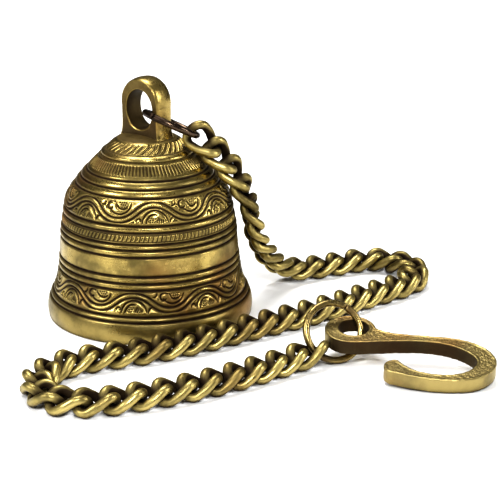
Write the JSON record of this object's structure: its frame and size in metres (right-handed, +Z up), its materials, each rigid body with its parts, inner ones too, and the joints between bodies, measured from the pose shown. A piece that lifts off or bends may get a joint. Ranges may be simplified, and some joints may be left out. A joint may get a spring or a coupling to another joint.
{
  "type": "temple bell",
  "caption": "Small hanging bell with engraved bands, a clapper inside, and a curb chain with jump rings that ends in a flat cast hook.",
  "frame": {"origin": "centre of the bell's mouth, on the surface it stands on", "axes": "+Z up along the bell's axis; the viewer of the front stands on the -Y side"},
  "size_m": [0.182, 0.174, 0.1024],
  "materials": {
    "bell_brass": "aged, dark in the engraving, brushed on the bands",
    "chain_brass": "aged, dark between the links",
    "ring_brass": "aged wire",
    "hook_brass": "rough casting with satin edges",
    "clapper_brass": "dull, as cast"
  },
  "bodies": {
    "bell": {"bell_shell": "bell_brass", "crown_loop": "bell_brass", "inner_staple": "bell_brass"},
    "clapper_ring": {"clapper_ring": "clapper_brass"},
    "clapper": {"clapper_rod": "clapper_brass", "clapper_ball": "clapper_brass"},
    "crown_ring": {"crown_ring": "ring_brass"},
    "chain_shoulder": {"chain_link_01": "chain_brass", "chain_link_02": "chain_brass", "chain_link_03": "chain_brass", "chain_link_04": "chain_brass", "chain_link_05": "chain_brass"},
    "chain_hanging": {"chain_link_06": "chain_brass", "chain_link_07": "chain_brass", "chain_link_08": "chain_brass", "chain_link_09": "chain_brass", "chain_link_10": "chain_brass"},
    "chain_back_run": {"chain_link_11": "chain_brass", "chain_link_12": "chain_brass", "chain_link_13": "chain_brass", "chain_link_14": "chain_brass", "chain_link_15": "chain_brass"},
    "chain_right_bend": {"chain_link_16": "chain_brass", "chain_link_17": "chain_brass", "chain_link_18": "chain_brass", "chain_link_19": "chain_brass", "chain_link_20": "chain_brass"},
    "chain_near_right": {"chain_link_21": "chain_brass", "chain_link_22": "chain_brass", "chain_link_23": "chain_brass", "chain_link_24": "chain_brass", "chain_link_25": "chain_brass", "chain_link_26": "chain_brass", "chain_link_27": "chain_brass"},
    "chain_near_left": {"chain_link_28": "chain_brass", "chain_link_29": "chain_brass", "chain_link_30": "chain_brass", "chain_link_31": "chain_brass", "chain_link_32": "chain_brass", "chain_link_33": "chain_brass"},
    "chain_left_bend": {"chain_link_34": "chain_brass", "chain_link_35": "chain_brass", "chain_link_36": "chain_brass", "chain_link_37": "chain_brass", "chain_link_38": "chain_brass"},
    "chain_front_left": {"chain_link_39": "chain_brass", "chain_link_40": "chain_brass", "chain_link_41": "chain_brass", "chain_link_42": "chain_brass", "chain_link_43": "chain_brass", "chain_link_44": "chain_brass"},
    "chain_front_right": {"chain_link_45": "chain_brass", "chain_link_46": "chain_brass", "chain_link_47": "chain_brass", "chain_link_48": "chain_brass", "chain_link_49": "chain_brass", "chain_link_50": "chain_brass"},
    "hook_ring": {"hook_ring": "ring_brass"},
    "hook": {"hook": "hook_brass"}
  },
  "joints": [
    {"name": "clapper_ring_swing", "type": "hinge", "parent": "bell", "child": "clapper_ring", "pos_m": [0, 0, 0.0576], "axis": [1, 0, 0], "range_deg": [-8, 8]},
    {"name": "clapper_swing", "type": "hinge", "parent": "clapper_ring", "child": "clapper", "pos_m": [0, 0, 0.0508], "axis": [0, 1, 0], "range_deg": [-40, 40]},
    {"name": "crown_ring_lift", "type": "hinge", "parent": "bell", "child": "crown_ring", "pos_m": [-0.00005, -0.005, 0.08813], "axis": [-0.6198, -0.7848, 0], "range_deg": [0, 30]},
    {"name": "chain_shoulder_lift", "type": "hinge", "parent": "crown_ring", "child": "chain_shoulder", "pos_m": [0.02105, -0.005, 0.07847], "axis": [0, -1, 0], "range_deg": [0, 12]},
    {"name": "chain_hanging_lift", "type": "hinge", "parent": "chain_shoulder", "child": "chain_hanging", "pos_m": [0.04477, 0.0045, 0.03768], "axis": [0.1, -0.995, 0], "range_deg": [0, 4]},
    {"name": "chain_back_run_turn", "type": "hinge", "parent": "chain_hanging", "child": "chain_back_run", "pos_m": [0.06411, 0.03614, 0.00527], "axis": [0, 0, 1], "range_deg": [0, 8]},
    {"name": "chain_right_bend_turn", "type": "hinge", "parent": "chain_back_run", "child": "chain_right_bend", "pos_m": [0.11082, 0.04795, 0.00446], "axis": [0, 0, 1], "range_deg": [0, 10]},
    {"name": "chain_near_right_turn", "type": "hinge", "parent": "chain_right_bend", "child": "chain_near_right", "pos_m": [0.09954, 0.00704, 0.00446], "axis": [0, 0, 1], "range_deg": [0, 8]},
    {"name": "chain_near_left_turn", "type": "hinge", "parent": "chain_near_right", "child": "chain_near_left", "pos_m": [0.04232, -0.03535, 0.00446], "axis": [0, 0, 1], "range_deg": [0, 8]},
    {"name": "chain_left_bend_turn", "type": "hinge", "parent": "chain_near_left", "child": "chain_left_bend", "pos_m": [-0.01083, -0.06501, 0.00446], "axis": [0, 0, 1], "range_deg": [-8, 8]},
    {"name": "chain_front_left_turn", "type": "hinge", "parent": "chain_left_bend", "child": "chain_front_left", "pos_m": [-0.03556, -0.10135, 0.00446], "axis": [0, 0, 1], "range_deg": [-8, 3]},
    {"name": "chain_front_right_lift", "type": "hinge", "parent": "chain_front_left", "child": "chain_front_right", "pos_m": [0.01947, -0.09711, 0.00446], "axis": [0.4643, -0.8857, 0], "range_deg": [0, 12]},
    {"name": "hook_ring_lift", "type": "hinge", "parent": "chain_front_right", "child": "hook_ring", "pos_m": [0.07209, -0.06228, 0.0065], "axis": [0.2339, -0.6006, 0.7646], "range_deg": [0, 20]},
    {"name": "hook_swing", "type": "hinge", "parent": "hook_ring", "child": "hook", "pos_m": [0.08736, -0.05485, 0.00925], "axis": [-0.025, -0.5514, -0.8339], "range_deg": [0, 15]}
  ]
}
